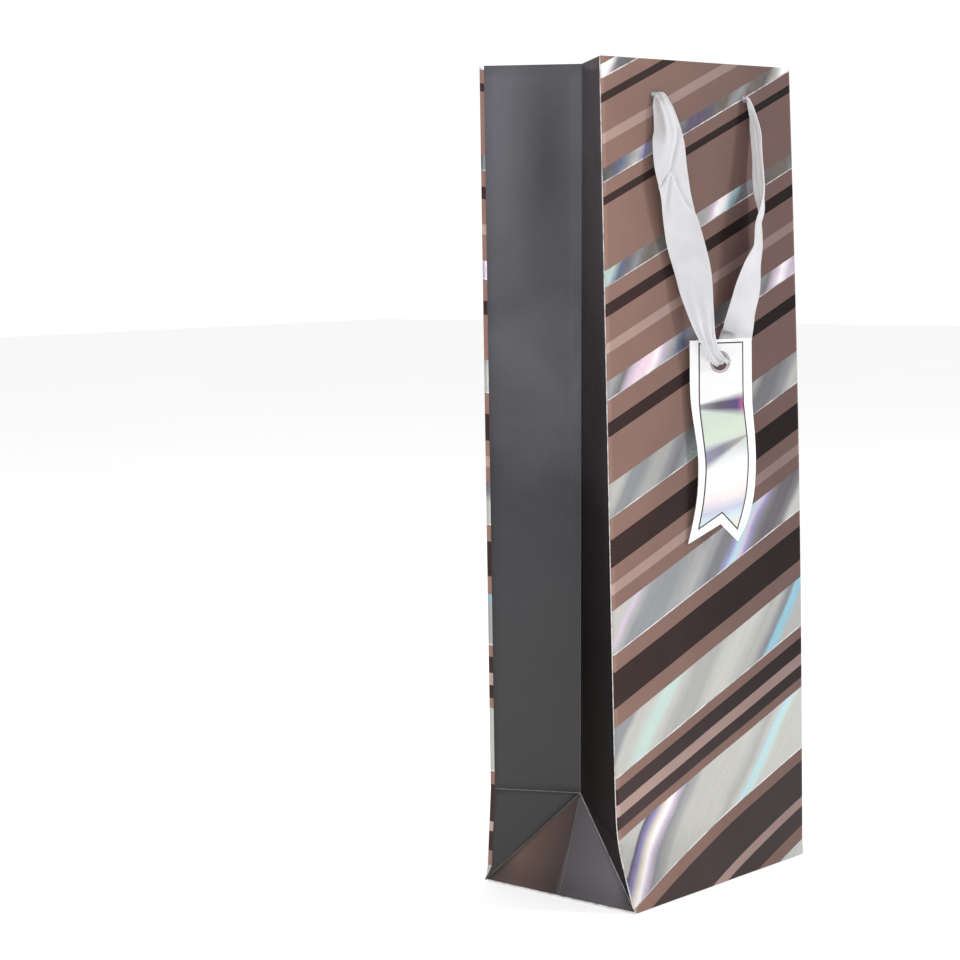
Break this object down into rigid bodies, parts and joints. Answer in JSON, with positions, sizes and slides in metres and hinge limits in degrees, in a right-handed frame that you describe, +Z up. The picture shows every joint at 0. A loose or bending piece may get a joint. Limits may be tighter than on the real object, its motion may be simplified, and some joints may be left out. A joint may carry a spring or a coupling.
{
  "type": "wine gift bag",
  "caption": "Tall paper bottle gift bag with inward-folded gussets, two ribbon handles, a hanging pennant tag and a carded base; it folds flat",
  "frame": {"origin": "centre of the underside of the base, where the bag stands", "axes": "+Z up, +X to the right seen from the front, the front panel with the tag faces -Y"},
  "size_m": [0.1251, 0.0975, 0.36],
  "materials": {
    "stripe_paper": "mauve-brown printed and laminated art paper with dark, light and holographic silver stripes",
    "gusset_paper": "plain charcoal matt laminate with pale worn creases",
    "lining_paper": "uncoated white inside of the paper",
    "stiffener_card": "raw grey-white card",
    "base_card": "raw white card",
    "satin_ribbon": "white satin ribbon with a fine looped selvedge",
    "tag_card": "smooth white card",
    "silver_foil": "holographic silver foil"
  },
  "bodies": {
    "base": {"base_board": "base_card", "bottom_outer_flap": "gusset_paper", "bottom_inner_flap": "lining_paper", "bottom_side_flap_left": "lining_paper", "bottom_side_flap_right": "lining_paper"},
    "back_strip": {"back_lower_panel": "stripe_paper"},
    "back_wall": {"back_panel": "stripe_paper", "back_stiffener": "stiffener_card", "back_hem": "lining_paper", "side_seam_flap": "lining_paper", "back_knot_left": "satin_ribbon", "back_knot_right": "satin_ribbon"},
    "left_rear": {"gusset_left_rear": "gusset_paper", "gusset_left_rear_hem": "lining_paper"},
    "left_front": {"gusset_left_front": "gusset_paper", "gusset_left_front_hem": "lining_paper"},
    "right_rear": {"gusset_right_rear": "gusset_paper", "gusset_right_rear_hem": "lining_paper"},
    "right_front": {"gusset_right_front": "gusset_paper", "gusset_right_front_hem": "lining_paper"},
    "front_wall": {"front_panel": "stripe_paper", "front_stiffener": "stiffener_card", "front_hem": "lining_paper", "front_knot_left": "satin_ribbon", "front_knot_right": "satin_ribbon"},
    "front_lower": {"front_lower_panel": "stripe_paper"},
    "left_front_foot": {"gusset_left_front_foot": "gusset_paper"},
    "right_front_foot": {"gusset_right_front_foot": "gusset_paper"},
    "left_foot": {"gusset_left_foot": "gusset_paper"},
    "right_foot": {"gusset_right_foot": "gusset_paper"},
    "left_rear_foot": {"gusset_left_rear_foot": "gusset_paper"},
    "right_rear_foot": {"gusset_right_rear_foot": "gusset_paper"},
    "front_handle": {"front_ribbon_handle": "satin_ribbon"},
    "back_handle": {"back_ribbon_handle": "satin_ribbon"},
    "tag": {"tag_card": "tag_card", "tag_foil_face": "silver_foil"}
  },
  "joints": [
    {"name": "fold_flat", "type": "hinge", "parent": "base", "child": "back_strip", "pos_m": [0, 0.04186, 0.00336], "axis": [1, 0, 0], "range_deg": [0, 71.96]},
    {"name": "back_panel_fold", "type": "hinge", "parent": "back_strip", "child": "back_wall", "pos_m": [0, 0.03951, 0.04239], "axis": [1, 0, 0], "range_deg": [-161.97, 0]},
    {"name": "left_rear_fold", "type": "hinge", "parent": "back_wall", "child": "left_rear", "pos_m": [-0.0617, 0.0381, 0.0425], "axis": [0, 0, 1], "range_deg": [0, 44.71]},
    {"name": "left_front_fold", "type": "hinge", "parent": "left_rear", "child": "left_front", "pos_m": [-0.03688, 0.00421, 0.0425], "axis": [0, 0, 1], "range_deg": [-89.41, 0]},
    {"name": "right_rear_fold", "type": "hinge", "parent": "back_wall", "child": "right_rear", "pos_m": [0.0617, 0.0381, 0.0425], "axis": [0, 0, 1], "range_deg": [-52.01, 0]},
    {"name": "right_front_fold", "type": "hinge", "parent": "right_rear", "child": "right_front", "pos_m": [0.04139, 0.00133, 0.0425], "axis": [0, 0, 1], "range_deg": [0, 104.01]},
    {"name": "front_panel_fold", "type": "hinge", "parent": "right_front", "child": "front_wall", "pos_m": [0.0617, -0.03545, 0.0425], "axis": [0, 0, 1], "range_deg": [-49.34, 0]},
    {"name": "front_flare_fold", "type": "hinge", "parent": "front_wall", "child": "front_lower", "pos_m": [-0.0001, -0.03396, 0.03], "axis": [0.9989, -0.0466, 0], "range_deg": [0, 10.01]},
    {"name": "left_front_foot_fold", "type": "hinge", "parent": "left_front", "child": "left_front_foot", "pos_m": [-0.06234, -0.0292, 0.03], "axis": [-0.5808, -0.7624, -0.2853], "range_deg": [-17.78, 0]},
    {"name": "right_front_foot_fold", "type": "hinge", "parent": "right_front", "child": "right_front_foot", "pos_m": [0.06239, -0.03505, 0.03], "axis": [0.4792, -0.83, -0.2853], "range_deg": [0, 8.65]},
    {"name": "left_foot_fold", "type": "hinge", "parent": "base", "child": "left_foot", "pos_m": [-0.0621, 0, 0.0021], "axis": [0, 1, 0], "range_deg": [0, 64.51]},
    {"name": "right_foot_fold", "type": "hinge", "parent": "base", "child": "right_foot", "pos_m": [0.0621, 0, 0.0021], "axis": [0, 1, 0], "range_deg": [-64.51, 0]},
    {"name": "left_rear_foot_fold", "type": "hinge", "parent": "back_strip", "child": "left_rear_foot", "pos_m": [-0.0617, 0.04186, 0.00336], "axis": [0, -0.0704, 0.9975], "range_deg": [0, 52.01]},
    {"name": "right_rear_foot_fold", "type": "hinge", "parent": "back_strip", "child": "right_rear_foot", "pos_m": [0.0617, 0.04186, 0.00336], "axis": [0, -0.0704, 0.9975], "range_deg": [-52.01, 0]},
    {"name": "front_handle_swing", "type": "hinge", "parent": "front_wall", "child": "front_handle", "pos_m": [-0.00016, -0.03526, 0.345], "axis": [-0.9989, 0.0466, 0], "range_deg": [0, 150]},
    {"name": "back_handle_swing", "type": "hinge", "parent": "back_wall", "child": "back_handle", "pos_m": [0, 0.0408, 0.345], "axis": [1, 0, 0], "range_deg": [0, 150]},
    {"name": "tag_swing", "type": "hinge", "parent": "front_handle", "child": "tag", "pos_m": [-0.0019, -0.044, 0.2307], "axis": [-0.8829, 0.4695, 0], "range_deg": [-0.5, 14]}
  ],
  "couplings": [
    {"joint": "back_panel_fold", "follows": "fold_flat", "ratio": -2.2507},
    {"joint": "left_rear_fold", "follows": "fold_flat", "ratio": 0.62116},
    {"joint": "left_front_fold", "follows": "fold_flat", "ratio": -1.2423},
    {"joint": "right_rear_fold", "follows": "fold_flat", "ratio": -0.7226},
    {"joint": "right_front_fold", "follows": "fold_flat", "ratio": 1.4452},
    {"joint": "front_panel_fold", "follows": "fold_flat", "ratio": -0.68548},
    {"joint": "front_flare_fold", "follows": "fold_flat", "ratio": 0.13896},
    {"joint": "left_front_foot_fold", "follows": "fold_flat", "ratio": -0.24696},
    {"joint": "right_front_foot_fold", "follows": "fold_flat", "ratio": 0.1201},
    {"joint": "left_foot_fold", "follows": "fold_flat", "ratio": 0.8963},
    {"joint": "right_foot_fold", "follows": "fold_flat", "ratio": -0.8963},
    {"joint": "left_rear_foot_fold", "follows": "fold_flat", "ratio": 0.7226},
    {"joint": "right_rear_foot_fold", "follows": "fold_flat", "ratio": -0.7226}
  ]
}
